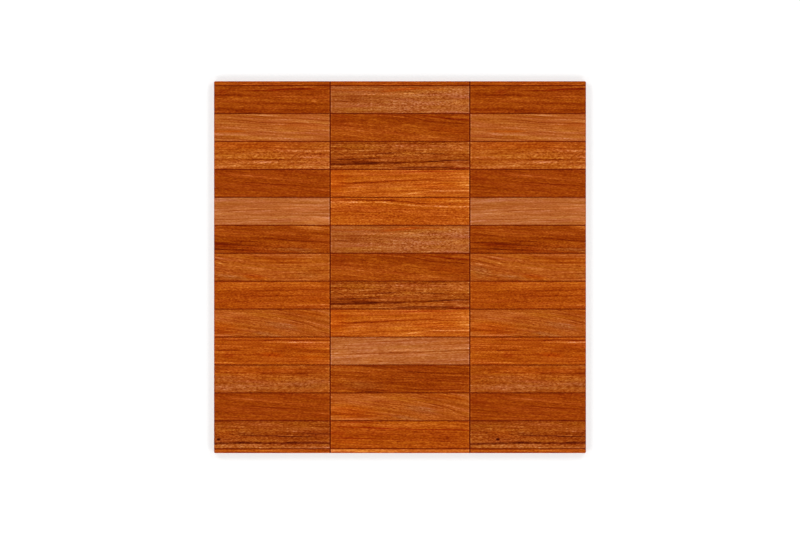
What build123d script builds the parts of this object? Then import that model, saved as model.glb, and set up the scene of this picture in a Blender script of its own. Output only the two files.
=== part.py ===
"""Square glazed floor tile whose face is pressed and printed as a floor of short timber strips.

The tile is one fired piece. It lies face up with its back on the plane Z = 0, centred on the origin.
The strips run along X in straight stacks, with a whole stack down the middle and cut stacks at the sides.
Shallow joints part the strips, and a grid of drafted pockets keys the back to its adhesive.
All sizes are in millimetres.
"""

from build123d import *

import math
import os

# Outline of the pressed body.
tile_side = 450.0
tile_thickness = 8.0
corner_radius = 1.5  # upright corners, seen from above
arris_radius = 0.8  # glazed edge all round the face
band_height = 3.0  # upright band below the face, above the drawn-in flank
flank_draft = 3.0  # degrees that the flank leans in towards the back
heel_chamfer = 0.7  # edge all round the back

# Strips on the face, and the joints between them.
strip_length = 169.0
strip_width = 33.8
end_joint_width = 1.3  # across the strips' ends
long_joint_width = 1.0  # along the strips' sides
joint_depth = 0.45
joint_draft = 25.0  # degrees that a joint's walls lean from upright
least_cut_strip = 2.5  # a strip narrower than this isn't drawn at the tile's edge

# Pockets that key the back.
key_pitch = 30.0
key_rib = 4.5  # rib between two pockets, at the bedding plane
key_corner = 3.0  # cut off each of a pocket's corners
key_depth = 0.8
key_draft = 35.0  # degrees that a pocket's walls lean from upright
key_border = 10.0  # least plain border round the pockets

cutter_lift = 1.0  # how far a cutter stands above the face that it cuts


def joint_places(pitch):
    """Centre lines of the joints between strips of this pitch, with a whole strip at the tile's centre."""
    reach = tile_side / 2 - least_cut_strip
    count = math.floor(reach / pitch + 0.5)
    outward = [(step + 0.5) * pitch for step in range(count)]
    return sorted([-place for place in outward] + outward)


def joint_profile(width):
    """Cross-section of one joint: drafted walls down to a flat root, open through the face at height 0."""
    lean = joint_depth * math.tan(math.radians(joint_draft))
    with BuildSketch() as profile:
        with BuildLine():
            Polyline(
                (-width / 2, cutter_lift),
                (-width / 2, 0),
                (lean - width / 2, -joint_depth),
                (width / 2 - lean, -joint_depth),
                (width / 2, 0),
                (width / 2, cutter_lift),
                close=True,
            )
        make_face()
    return profile.sketch


end_joints = joint_places(strip_length)
long_joints = joint_places(strip_width)
key_side = key_pitch - key_rib
flank_inset = (tile_thickness - band_height - heel_chamfer) * math.tan(math.radians(flank_draft))
key_count = math.floor((tile_side - 2 * key_border + key_rib) / key_pitch)

# One keying pocket, whose walls draw in towards its floor.
with BuildPart() as key_cutter:
    with BuildSketch():
        Rectangle(key_side, key_side)
        chamfer(vertices(), length=key_corner)
    extrude(amount=key_depth, taper=key_draft)

with BuildPart() as floor_tile:
    # The body's outline at the back, at the top of the heel, at the foot of the band and at the face.
    for height, inset in (
        (0, flank_inset + heel_chamfer),
        (heel_chamfer, flank_inset),
        (tile_thickness - band_height, 0),
        (tile_thickness, 0),
    ):
        with BuildSketch(Plane.XY.offset(height)):
            RectangleRounded(tile_side - 2 * inset, tile_side - 2 * inset, corner_radius)
    loft(ruled=True)
    fillet(faces().sort_by(Axis.Z)[-1].edges(), radius=arris_radius)

    # Joints across the strips' ends run along Y, and those beside the strips run along X.
    with BuildSketch(Plane.XZ):
        with Locations(*[(place, tile_thickness) for place in end_joints]):
            add(joint_profile(end_joint_width))
    extrude(amount=tile_side, both=True, mode=Mode.SUBTRACT)
    with BuildSketch(Plane.YZ):
        with Locations(*[(place, tile_thickness) for place in long_joints]):
            add(joint_profile(long_joint_width))
    extrude(amount=tile_side, both=True, mode=Mode.SUBTRACT)

    # The pockets in the back.
    with GridLocations(key_pitch, key_pitch, key_count, key_count):
        add(key_cutter.part, mode=Mode.SUBTRACT)

floor_tile.part.label = "floor_tile"

os.makedirs("parts", exist_ok=True)
export_step(floor_tile.part, "parts/floor_tile.step")

print("end joints at", [round(place, 1) for place in end_joints])
print("long joints at", [round(place, 1) for place in long_joints])
print("pockets", key_count, "by", key_count, "volume", round(floor_tile.part.volume))
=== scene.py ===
"""Looks of a square glazed floor tile whose face is printed as a floor of short timber strips.

The tile lies face up on a plain pale floor, and the camera looks straight down on it.
The body is one closed mesh. Each timber strip on its face has a print of its own, laid by the inks below.
Lengths are in millimetres, apart from the studio's and those read from model.glb, which are in metres.
"""

import logging
import math
from dataclasses import dataclass, field
from enum import Enum
from functools import cached_property

import bmesh
import bpy
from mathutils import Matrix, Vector


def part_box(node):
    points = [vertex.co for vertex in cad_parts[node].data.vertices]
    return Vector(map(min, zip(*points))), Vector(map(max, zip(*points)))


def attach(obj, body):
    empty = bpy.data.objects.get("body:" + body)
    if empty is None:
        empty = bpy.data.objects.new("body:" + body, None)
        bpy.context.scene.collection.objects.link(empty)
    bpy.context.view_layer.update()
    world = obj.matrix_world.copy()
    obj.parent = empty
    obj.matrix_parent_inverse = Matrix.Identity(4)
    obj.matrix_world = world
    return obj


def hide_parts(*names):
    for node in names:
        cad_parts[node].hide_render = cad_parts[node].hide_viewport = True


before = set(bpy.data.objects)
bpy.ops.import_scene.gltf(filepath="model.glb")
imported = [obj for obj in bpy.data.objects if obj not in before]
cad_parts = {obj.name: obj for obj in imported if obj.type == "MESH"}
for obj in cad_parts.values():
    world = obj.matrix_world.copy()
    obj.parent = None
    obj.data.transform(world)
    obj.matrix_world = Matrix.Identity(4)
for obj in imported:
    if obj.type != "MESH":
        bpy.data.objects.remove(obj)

LOG = logging.getLogger("floor_tile")
MM = 0.001
PER_MM = (1 / MM, 1 / MM, 1 / MM)
NODE = "floor_tile"
PRINT_MAP = "print"
SEED_STEP = 7.3  # keeps the noises of two boards apart

# The photograph's frame, and where the tile lies in it, in pixels.
FRAME_WIDTH_PX = 800
FRAME_HEIGHT_PX = 533
TILE_WIDTH_PX = 371.9
TILE_CENTRE_PX = (400.0, 267.17)

Colour = tuple[float, float, float]
Triple = tuple[float, float, float]
Pair = tuple[float, float]
Outline = list[bmesh.types.BMVert]


class Ground(Enum):
    """Ground colours that the timber prints start from, as linear red, green and blue."""

    DEEP = (0.343, 0.054, 0.0018)
    UMBER = (0.372, 0.074, 0.0054)
    ORANGE = (0.415, 0.069, 0.0026)
    FLAME = (0.520, 0.103, 0.0062)
    HONEY = (0.436, 0.091, 0.0070)
    TAN = (0.466, 0.113, 0.0158)
    SALMON = (0.413, 0.101, 0.0160)
    ROSE = (0.498, 0.142, 0.0330)


class Ink(Enum):
    """What an ink at full strength adds to the natural logarithm of red, green and blue."""

    GRAIN = (0.73, 1.42, 2.85)
    SHADE = (-0.50, -1.05, -2.00)
    RED = (-0.27, -0.88, -0.90)
    BLACK = (-1.30, -2.20, -2.30)
    GLOW = (0.28, 0.52, 1.25)
    PINK = (0.36, 0.74, 1.85)
    PALE = (0.32, 0.50, 0.85)
    GREY = (-0.06, 0.14, 0.95)
    AMBER = (0.03, -0.22, -1.00)
    TINT = (0.03, -0.06, 0.70)


GRAIN, SHADE, RED, BLACK, GLOW, PINK, PALE, GREY, AMBER, TINT = Ink


@dataclass(frozen=True)
class Vein:
    """One line of the grain, whose ends are hundredths of a strip's length and width from its top left."""

    start_along: float
    start_down: float
    end_along: float
    end_down: float
    ink: Ink
    strength: float  # hundredths
    width: float = 1.0  # millimetres to either side
    bend: float = 0.0  # millimetres that the middle lies below the straight line


@dataclass(frozen=True)
class Patch:
    """One soft area of a strip, with its centre and its reach to either side in the same hundredths."""

    along: float
    down: float
    reach_along: float
    reach_down: float
    ink: Ink
    strength: float  # hundredths


@dataclass(frozen=True)
class BoardPrint:
    """The print of one whole strip of timber, with the strength of its figures on their inks."""

    ground: Ground
    bands: float
    streaks: float
    lines: float
    mottle: float
    tint: float = 0.25
    fall: float = 0.0  # millimetres that the grain drops from the left end to the right
    bow: float = 0.0  # millimetres that it drops besides, ever faster to the right
    ripple: Patch | None = None  # where short dark ticks lie close together
    veins: tuple[Vein, ...] = ()
    patches: tuple[Patch, ...] = ()


class Board(Enum):
    """The strips that the tile's print is made of, named for their figure."""

    RIPPLED = BoardPrint(
        Ground.SALMON, bands=0.06, streaks=0.09, lines=0.09, mottle=0.13,
        ripple=Patch(76, 58, 90, 90, GRAIN, 70),
        veins=(
            Vein(38, 21, 62, 9, AMBER, 99, 2.4, -0.4), Vein(58, 10, 82, 14, AMBER, 66, 1.6),
            Vein(0, 15, 32, 17, AMBER, 55, 1.5), Vein(24, 31, 62, 27, PALE, 105, 1.5, 0.5),
            Vein(2, 55, 13, 56, SHADE, 69, 1.1), Vein(13, 48, 22, 50, SHADE, 63, 0.9),
            Vein(14, 37, 24, 38, SHADE, 46, 0.8), Vein(44, 50, 60, 48, SHADE, 40, 0.9),
            Vein(26, 64, 40, 66, SHADE, 40, 0.8),
        ),
        patches=(
            Patch(12, 46, 20, 22, SHADE, 22), Patch(50, 10, 45, 18, AMBER, 45),
            Patch(80, 78, 30, 32, PALE, 30), Patch(22, 72, 20, 14, SHADE, 16),
            Patch(93, 60, 12, 24, PALE, 66), Patch(84, 15, 22, 18, PALE, 42),
        ),
    )
    DARK_FAN = BoardPrint(
        Ground.DEEP, bands=0.08, streaks=0.15, lines=0.14, mottle=0.12, fall=19.0, bow=-4.0,
        ripple=Patch(42, 55, 70, 70, GRAIN, 32),
        veins=(
            Vein(50, 5, 72, 29, SHADE, 75, 1.1), Vein(68, 27, 98, 38, SHADE, 60, 1.1),
            Vein(58, 5, 74, 22, SHADE, 46, 0.9), Vein(66, 6, 86, 19, RED, 125, 1.1),
            Vein(82, 18, 102, 23, RED, 115, 1.2), Vein(74, 16, 98, 31, PINK, 36),
            Vein(14, 57, 36, 71, GLOW, 70, 1.1), Vein(18, 48, 48, 64, GLOW, 46),
            Vein(30, 70, 64, 86, GLOW, 46), Vein(2, 7, 14, 13, RED, 75),
        ),
        patches=(
            Patch(47, 38, 9, 14, SHADE, 30), Patch(20, 70, 30, 32, GLOW, 60),
            Patch(85, 60, 20, 25, AMBER, 30), Patch(76, 88, 40, 18, GLOW, 115),
            Patch(74, 54, 18, 20, SHADE, 32), Patch(20, 38, 16, 18, GLOW, 60),
            Patch(66, 10, 10, 14, GLOW, 60), Patch(93, 12, 10, 14, GLOW, 60),
        ),
    )
    BLACK_SEAM = BoardPrint(
        Ground.UMBER, bands=0.08, streaks=0.17, lines=0.16, mottle=0.16,
        ripple=Patch(42, 34, 90, 75, GRAIN, 66),
        veins=(
            Vein(-5, 81, 32, 79, BLACK, 58, 2.3), Vein(26, 79, 52, 77, BLACK, 50, 1.7),
            Vein(48, 76, 74, 72, SHADE, 75, 1.2), Vein(70, 71, 98, 67, BLACK, 75, 1.3),
            Vein(2, 64, 34, 61, BLACK, 52, 1.4), Vein(20, 56, 48, 57, SHADE, 52, 1.1),
            Vein(33, 43, 48, 40, BLACK, 45, 1.6), Vein(60, 42, 80, 44, BLACK, 38, 1.2),
            Vein(20, 10, 40, 7, SHADE, 52), Vein(50, 8, 72, 7, SHADE, 40, 1.1),
            Vein(48, 93, 86, 92, BLACK, 55, 1.5), Vein(84, 97, 102, 95, RED, 90, 1.2),
            Vein(60, 34, 72, 35, PALE, 20, 1.4), Vein(-4, 73, 26, 71, BLACK, 34, 1.1),
            Vein(12, 74.5, 46, 72.5, BLACK, 30), Vein(30, 90, 52, 88, SHADE, 30, 0.9),
        ),
        patches=(
            Patch(50, 35, 120, 60, PALE, 12), Patch(10, 68, 36, 14, SHADE, 20),
            Patch(20, 91, 28, 6, PALE, 51), Patch(74, 82, 32, 9, PALE, 65), Patch(93, 28, 14, 40, PALE, 48),
            Patch(6, 25, 6, 12, RED, 40), Patch(62, 15, 18, 12, SHADE, 30), Patch(93, 77, 12, 24, GLOW, 100),
            Patch(54, 14, 12, 16, GLOW, 40), Patch(8, 88, 12, 10, GLOW, 50), Patch(32, 15, 12, 16, GLOW, 45),
            Patch(80, 38, 12, 16, SHADE, 26),
        ),
    )
    FLAME = BoardPrint(
        Ground.FLAME, bands=0.06, streaks=0.165, lines=0.15, mottle=0.13, fall=-3.0,
        ripple=Patch(45, 50, 60, 60, GRAIN, 23),
        veins=(
            Vein(6, 51, 40, 45, SHADE, 105, 1.9), Vein(38, 44, 76, 36, SHADE, 66, 1.4),
            Vein(74, 40, 102, 42, SHADE, 32, 1.1), Vein(20, 10, 42, 9, SHADE, 46),
            Vein(50, 10, 90, 7, RED, 75, 1.2, -0.4), Vein(68, 68, 94, 65, SHADE, 32, 0.9),
            Vein(48, 94, 73, 77.5, PINK, 54, 1.4, -0.6), Vein(73, 77, 102, 77, PINK, 68, 1.4),
            Vein(58, 94, 102, 89, PINK, 42, 1.1, -1.0), Vein(66, 83, 100, 82, SHADE, 45, 0.9),
            Vein(4, 92, 46, 92.5, GLOW, 95, 1.4), Vein(86, 13, 102, 16, PINK, 42, 1.5),
            Vein(52, 50, 100, 47, GLOW, 43), Vein(62, 83, 74, 77.5, PINK, 26, 1.1),
        ),
        patches=(
            Patch(60, 50, 120, 120, GLOW, 8), Patch(3, 45, 14, 60, AMBER, 60),
            Patch(97, 52, 10, 40, PINK, 39), Patch(40, 60, 22, 18, GREY, 29),
            Patch(75, 56, 22, 16, AMBER, 40), Patch(68, 16, 14, 14, GLOW, 60),
            Patch(31, 60, 14, 16, SHADE, 28), Patch(68, 42, 12, 12, GLOW, 30),
        ),
    )
    LIGHT_SWEEP = BoardPrint(
        Ground.FLAME, bands=0.06, streaks=0.13, lines=0.11, mottle=0.16, fall=1.0,
        ripple=Patch(60, 75, 90, 50, GRAIN, 38),
        veins=(
            Vein(0, 13, 14, 10, SHADE, 40), Vein(10, 9, 48, 10, SHADE, 100, 1.4),
            Vein(42, 11, 66, 22.5, SHADE, 85, 1.2), Vein(62, 22, 88, 24, SHADE, 60, 1.2),
            Vein(84, 21, 102, 23, SHADE, 37), Vein(-2, 20, 20, 18, PINK, 80, 2.3),
            Vein(12, 16, 42, 16.5, PINK, 50, 1.2), Vein(36, 17.5, 62, 30, PINK, 66, 1.4, 0.2),
            Vein(55, 29, 82, 33, PINK, 78, 1.4), Vein(76, 33, 102, 34, PINK, 75, 1.4),
            Vein(82, 14, 102, 13, PINK, 72, 1.6), Vein(0, 92, 30, 93, GLOW, 39, 1.1),
        ),
        patches=(
            Patch(45, 62, 70, 40, SHADE, 24), Patch(78, 8, 20, 10, AMBER, 50),
            Patch(62, 12, 16, 14, SHADE, 40),
        ),
    )
    ROSE_LINE = BoardPrint(
        Ground.ROSE, bands=0.05, streaks=0.11, lines=0.16, mottle=0.08, tint=0.14, fall=-6.0,
        veins=(
            Vein(-2, 62, 46, 56, SHADE, 40, 1.3), Vein(42, 56.5, 102, 46, SHADE, 50, 1.3, 0.4),
            Vein(8, 67, 62, 61, PALE, 39, 1.3), Vein(44, 48, 102, 38, PALE, 66, 2.1),
            Vein(56, 60, 102, 53, PALE, 46, 1.4), Vein(4, 83, 28, 82, SHADE, 25, 0.9),
            Vein(58, 77, 96, 72, SHADE, 25, 0.9), Vein(62, 88, 100, 84, SHADE, 28, 0.9),
            Vein(24, 19, 78, 11, SHADE, 23), Vein(8, 31, 24, 32, SHADE, 21, 0.8),
            Vein(0, 8, 60, 7, PALE, 26, 1.1),
        ),
        patches=(
            Patch(88, 20, 30, 22, AMBER, 35), Patch(60, 80, 12, 12, PALE, 21),
            Patch(31, 85, 16, 16, PALE, 60), Patch(7, 60, 10, 16, PALE, 50),
        ),
    )
    DARK_RIGHT = BoardPrint(
        Ground.DEEP, bands=0.07, streaks=0.165, lines=0.18, mottle=0.14, fall=8.0,
        ripple=Patch(23, 72, 50, 50, GRAIN, 46),
        veins=(
            Vein(24, 5, 42, 10, BLACK, 35, 1.2), Vein(32, 15, 50, 22, GLOW, 52, 1.2),
            Vein(46, 14, 62, 25, SHADE, 52), Vein(54, 24, 65, 26, BLACK, 50), Vein(0, 28, 28, 30, SHADE, 46),
            Vein(5, 40, 30, 41, SHADE, 32, 0.9), Vein(64, 28, 100, 31, SHADE, 46),
            Vein(44, 42, 70, 50, SHADE, 34, 0.9), Vein(30, 62, 74, 61, SHADE, 48),
            Vein(62, 56, 100, 60, SHADE, 37, 0.9), Vein(60, 72, 100, 70, SHADE, 34, 0.9),
            Vein(62, 79, 100, 77, GLOW, 46, 0.9), Vein(58, 88, 96, 87, SHADE, 52),
            Vein(60, 93, 94, 92, GLOW, 54, 0.9), Vein(20, 96, 40, 95, BLACK, 44),
        ),
        patches=(
            Patch(13, 15, 24, 26, GLOW, 78), Patch(23, 72, 22, 26, GREY, 78), Patch(68, 62, 10, 12, GLOW, 35),
            Patch(80, 35, 30, 35, SHADE, 18), Patch(12, 40, 16, 18, GLOW, 80), Patch(7, 86, 10, 16, GLOW, 65),
            Patch(86, 27, 18, 26, GLOW, 48),
        ),
    )
    SWIRL = BoardPrint(
        Ground.HONEY, bands=0.06, streaks=0.125, lines=0.15, mottle=0.11, fall=6.0, bow=18.0,
        ripple=Patch(58, 74, 40, 50, GRAIN, 42),
        veins=(
            Vein(-2, 15, 24, 24, GLOW, 46, 1.1), Vein(28, 7, 44, 18, GLOW, 54, 1.1),
            Vein(40, 8, 66, 19, GLOW, 70), Vein(40, 14, 72, 40, GLOW, 62, 1.0, -0.6),
            Vein(52, 22, 80, 50, SHADE, 46, 0.9, -0.9), Vein(54, 26, 86, 62, PINK, 51, 1.0, -1.2),
            Vein(84, 58, 93, 86, GLOW, 70, 1.0, -0.5), Vein(72, 38, 95, 76, SHADE, 60, 1.0, -1.4),
            Vein(80, 40, 99, 70, GLOW, 54, 1.0, -1.0), Vein(15, 42, 29, 58, PINK, 46),
            Vein(15, 33, 32, 50, GLOW, 46), Vein(46, 11, 82, 20, SHADE, 46),
            Vein(4, 95, 36, 93, PINK, 46, 1.4), Vein(37, 93, 50, 80, SHADE, 46, 1.1, -0.8),
            Vein(2, 90, 36, 78, SHADE, 45, 1.0, 0.8), Vein(10, 97, 44, 84, GLOW, 40, 1.0, 0.6),
            Vein(0, 78, 30, 70, SHADE, 30, 0.9, 0.6),
        ),
        patches=(
            Patch(66, 60, 17, 20, GREY, 80), Patch(54, 88, 14, 12, GREY, 80),
            Patch(14, 68, 32, 36, AMBER, 100), Patch(84, 14, 22, 14, AMBER, 45),
            Patch(96, 28, 7, 24, PINK, 39), Patch(39, 38, 16, 18, SHADE, 46), Patch(7, 58, 12, 16, GLOW, 75),
            Patch(70, 86, 12, 14, GLOW, 70), Patch(8, 86, 12, 16, PALE, 60), Patch(63, 37, 16, 16, GLOW, 50),
            Patch(32, 15, 12, 16, GLOW, 48),
        ),
    )
    RED_THREAD = BoardPrint(
        Ground.ORANGE, bands=0.05, streaks=0.11, lines=0.13, mottle=0.13, fall=4.0,
        ripple=Patch(65, 70, 80, 60, GRAIN, 32),
        veins=(
            Vein(6, 22, 28, 23, RED, 92, 1.2), Vein(25, 24, 40, 27, RED, 112, 1.3),
            Vein(36, 27, 76, 32, RED, 68, 1.1), Vein(73, 31, 102, 34, RED, 110),
            Vein(4, 61, 32, 64, RED, 72, 1.2), Vein(28, 64, 58, 67, SHADE, 32), Vein(12, 4, 30, 5, RED, 75),
            Vein(55, 70, 92, 76, SHADE, 28, 0.9), Vein(28, 44, 72, 47, GLOW, 43),
            Vein(30, 15, 90, 20, GLOW, 39), Vein(60, 90, 96, 91, GLOW, 34, 0.9),
        ),
        patches=(
            Patch(50, 10, 80, 18, GLOW, 55), Patch(45, 55, 60, 18, SHADE, 22), Patch(3, 45, 12, 14, RED, 45),
            Patch(12, 75, 16, 12, AMBER, 40), Patch(15, 14, 18, 14, GLOW, 60),
            Patch(80, 61, 24, 16, SHADE, 26),
        ),
    )
    BRIGHT_FLECK = BoardPrint(
        Ground.DEEP, bands=0.07, streaks=0.13, lines=0.12, mottle=0.14,
        ripple=Patch(45, 85, 70, 40, GRAIN, 24),
        veins=(
            Vein(58, 14, 86, 11, RED, 200, 1.3), Vein(42, 17, 64, 19, RED, 75, 1.1),
            Vein(82, 14, 100, 13, RED, 48, 1.1), Vein(7, 34, 31, 34, SHADE, 71, 1.1),
            Vein(28, 36, 42, 37, SHADE, 29, 0.9), Vein(58, 6, 88, 5, GLOW, 42, 1.1),
            Vein(62, 21, 98, 20, SHADE, 32, 0.9), Vein(26, 50, 60, 52, GLOW, 43),
            Vein(46, 38, 80, 37, GLOW, 34), Vein(32, 62, 96, 66, SHADE, 30, 0.9),
        ),
        patches=(
            Patch(88.8, 55, 2.8, 7.5, GLOW, 175), Patch(50, 88, 80, 18, SHADE, 28),
            Patch(40, 92, 14, 12, SHADE, 30), Patch(95, 35, 10, 32, GLOW, 46), Patch(22, 24, 6, 12, RED, 45),
            Patch(71, 37, 28, 20, GLOW, 62), Patch(74, 17, 16, 14, SHADE, 26),
        ),
    )
    TAN_STREAKS = BoardPrint(
        Ground.TAN, bands=0.05, streaks=0.13, lines=0.15, mottle=0.09, fall=8.0,
        veins=(
            Vein(24, 20, 38, 25, SHADE, 40, 1.1), Vein(35, 24, 54, 33, SHADE, 57, 1.2),
            Vein(50, 32, 82, 37, SHADE, 34, 0.9), Vein(33, 10, 50, 17, SHADE, 37, 0.9),
            Vein(64, 22, 100, 30, PINK, 46, 1.1), Vein(72, 30, 94, 38, SHADE, 46),
            Vein(15, 64, 38, 63, AMBER, 90, 2.0), Vein(16, 75, 38, 77, PINK, 58, 1.7),
            Vein(50, 41, 68, 39, PINK, 51), Vein(46, 79, 64, 78, SHADE, 37, 0.9),
            Vein(80, 65, 98, 63, SHADE, 41, 0.9), Vein(34, 5, 60, 6, PINK, 55, 1.6),
            Vein(2, 36, 30, 42, GLOW, 43), Vein(30, 48, 60, 56, SHADE, 28, 0.8),
        ),
        patches=(
            Patch(62, 88, 55, 12, PINK, 38), Patch(20, 93, 30, 10, PINK, 28),
            Patch(80, 45, 30, 20, AMBER, 35), Patch(56, 38, 12, 16, SHADE, 24),
            Patch(32, 39, 12, 16, GLOW, 42),
        ),
    )
    CRIMPED_FOOT = BoardPrint(
        Ground.HONEY, bands=0.05, streaks=0.13, lines=0.13, mottle=0.15,
        ripple=Patch(75, 66, 90, 60, GRAIN, 56),
        veins=(
            Vein(14, 42, 44, 41, SHADE, 46, 1.1), Vein(2, 66, 68, 66, SHADE, 71, 1.3),
            Vein(62, 66, 80, 67, SHADE, 37), Vein(64, 44, 100, 46, SHADE, 57, 1.5),
            Vein(44, 35, 76, 33, GLOW, 70, 1.7), Vein(73, 34, 102, 33, GLOW, 50, 1.1),
            Vein(2, 55, 50, 56, GLOW, 54, 2.2), Vein(76, 56, 100, 57, PINK, 42, 1.6),
            Vein(46, 74, 96, 73, GLOW, 59, 1.7), Vein(30, 26, 70, 27, SHADE, 28, 0.9),
            Vein(12, 93, 60, 94, SHADE, 34),
        ),
        patches=(
            Patch(50, 50, 140, 140, GLOW, 18), Patch(52, 77, 14, 12, GLOW, 40),
            Patch(22, 85, 26, 14, PINK, 42), Patch(85, 90, 30, 12, PINK, 42),
            Patch(36, 15, 60, 28, AMBER, 60), Patch(48, 14, 18, 18, SHADE, 28),
            Patch(50, 60, 16, 14, SHADE, 26), Patch(69, 40, 12, 14, GLOW, 45),
        ),
    )
    EVEN_DARK = BoardPrint(
        Ground.DEEP, bands=0.05, streaks=0.11, lines=0.10, mottle=0.12, fall=14.0,
        ripple=Patch(75, 25, 60, 50, GRAIN, 27),
        veins=(
            Vein(18, 16, 50, 25, GLOW, 40, 1.1), Vein(36, 20, 76, 35, GLOW, 36),
            Vein(52, 32, 98, 44, GLOW, 43), Vein(38, 46, 74, 57, SHADE, 44, 1.1),
            Vein(62, 54, 100, 66, SHADE, 30, 0.9), Vein(20, 56, 60, 74, GLOW, 34),
            Vein(86, 70, 102, 77, GLOW, 65, 1.1), Vein(4, 93, 72, 92, GLOW, 59, 0.9),
            Vein(46, 70, 92, 82, SHADE, 30, 0.9),
        ),
        patches=(
            Patch(50, 50, 140, 140, RED, 12), Patch(84, 12, 18, 14, SHADE, 26), Patch(6, 28, 10, 20, RED, 25),
            Patch(95, 85, 12, 15, AMBER, 25), Patch(68, 15, 12, 18, SHADE, 34),
            Patch(75, 84, 18, 16, GLOW, 70), Patch(38, 27, 16, 22, GLOW, 50),
            Patch(44, 62, 10, 14, SHADE, 26),
        ),
    )
    ROSE_FAN = BoardPrint(
        Ground.ROSE, bands=0.05, streaks=0.11, lines=0.18, mottle=0.06, tint=0.16, fall=-8.0, bow=6.0,
        veins=(
            Vein(-2, 43, 30, 40, SHADE, 32), Vein(22, 40, 46, 33, SHADE, 41, 1.0, -0.2),
            Vein(44, 33, 102, 33, SHADE, 30, 0.9), Vein(22, 52, 52, 44, SHADE, 48, 1.0, -0.2),
            Vein(50, 43.5, 102, 43, SHADE, 30, 0.9), Vein(30, 44, 72, 37.5, PALE, 38, 1.1, -0.3),
            Vein(16, 68, 46, 62, SHADE, 30, 0.9), Vein(44, 64, 102, 66, SHADE, 23, 0.9),
            Vein(2, 80, 32, 79, SHADE, 32, 0.9), Vein(52, 90, 102, 88, SHADE, 23, 0.9),
            Vein(20, 22, 100, 20, SHADE, 16, 0.8), Vein(0, 14, 102, 13, PALE, 25),
            Vein(10, 58, 80, 53, PALE, 31, 1.1),
        ),
        patches=(
            Patch(10, 10, 50, 20, GREY, 20), Patch(93, 86, 26, 22, PALE, 100),
            Patch(83, 40, 30, 20, PALE, 62),
        ),
    )
    PLUM_CORNER = BoardPrint(
        Ground.DEEP, bands=0.07, streaks=0.16, lines=0.17, mottle=0.13, fall=11.0,
        ripple=Patch(66, 80, 60, 45, GRAIN, 48),
        veins=(
            Vein(0, 33, 20, 38, SHADE, 46), Vein(0, 61, 24, 64, BLACK, 40),
            Vein(16, 66, 48, 73, BLACK, 30, 1.4), Vein(0, 84, 24, 86, BLACK, 38),
            Vein(18, 86, 38, 88, BLACK, 45, 1.2), Vein(34, 88, 62, 93, SHADE, 52, 1.2),
            Vein(46, 45, 68, 51, SHADE, 63), Vein(64, 51, 86, 58, BLACK, 38),
            Vein(82, 58, 102, 62, SHADE, 40, 0.9), Vein(54, 35, 94, 43, SHADE, 32, 0.9),
            Vein(40, 33, 62, 42, GLOW, 59), Vein(10, 24, 44, 30, GLOW, 43),
            Vein(72, 7, 98, 17, PINK, 75, 1.8), Vein(78, 5, 102, 9, GLOW, 54),
            Vein(0, 10, 18, 13, RED, 52, 1.2), Vein(2, 52, 30, 56, GLOW, 34, 0.9),
        ),
        patches=(
            Patch(22, 71, 26, 16, SHADE, 42), Patch(18, 69, 14, 12, RED, 45),
            Patch(88, 14, 22, 20, GLOW, 105), Patch(55, 10, 10, 12, GREY, 52),
            Patch(74, 88, 30, 13, GREY, 105), Patch(92, 40, 12, 14, GLOW, 22),
            Patch(72, 68, 20, 14, GLOW, 26), Patch(41, 56, 22, 26, SHADE, 44),
            Patch(63, 28, 24, 26, GLOW, 88), Patch(94, 44, 16, 24, GLOW, 95),
            Patch(44, 86, 10, 14, SHADE, 28), Patch(32, 40, 12, 14, SHADE, 24),
        ),
    )
    LEFT_ARCS = BoardPrint(
        Ground.HONEY, bands=0.06, streaks=0.125, lines=0.15, mottle=0.11, fall=30.0, bow=-18.0,
        ripple=Patch(15, 66, 50, 60, GRAIN, 36),
        veins=(
            Vein(-2, 20, 21, 49, SHADE, 78, 1.0, -1.0), Vein(5, 14, 24, 42, GLOW, 70, 1.0, -0.9),
            Vein(6, 8, 26, 36, SHADE, 66, 1.0, -0.9), Vein(12, 9, 30, 30, PINK, 55, 1.0, -0.5),
            Vein(14, 6, 36, 28, SHADE, 34, 0.9, -0.5), Vein(20, 48, 44, 57, SHADE, 32, 0.9),
            Vein(38, 20, 74, 21, SHADE, 41), Vein(58, 35, 84, 33, SHADE, 44),
            Vein(58, 46, 80, 45, SHADE, 52, 1.1), Vein(60, 40, 100, 39, GLOW, 54),
            Vein(46, 27, 96, 27, GLOW, 43), Vein(62, 55, 102, 50, GLOW, 39),
            Vein(30, 7, 98, 8, PINK, 41, 1.3), Vein(32, 70, 46, 84, SHADE, 40, 1.6, -0.8),
            Vein(56, 80, 90, 68, SHADE, 25, 1.1),
        ),
        patches=(
            Patch(7, 64, 12, 32, GREY, 78), Patch(30, 86, 15, 12, GREY, 78), Patch(49, 57, 11, 12, GLOW, 87),
            Patch(46, 86, 12, 14, AMBER, 90), Patch(66, 28, 34, 18, AMBER, 45),
            Patch(84, 78, 14, 16, GREY, 39), Patch(69, 38, 14, 16, GLOW, 52),
            Patch(90, 62, 12, 14, SHADE, 24),
        ),
    )
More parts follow.
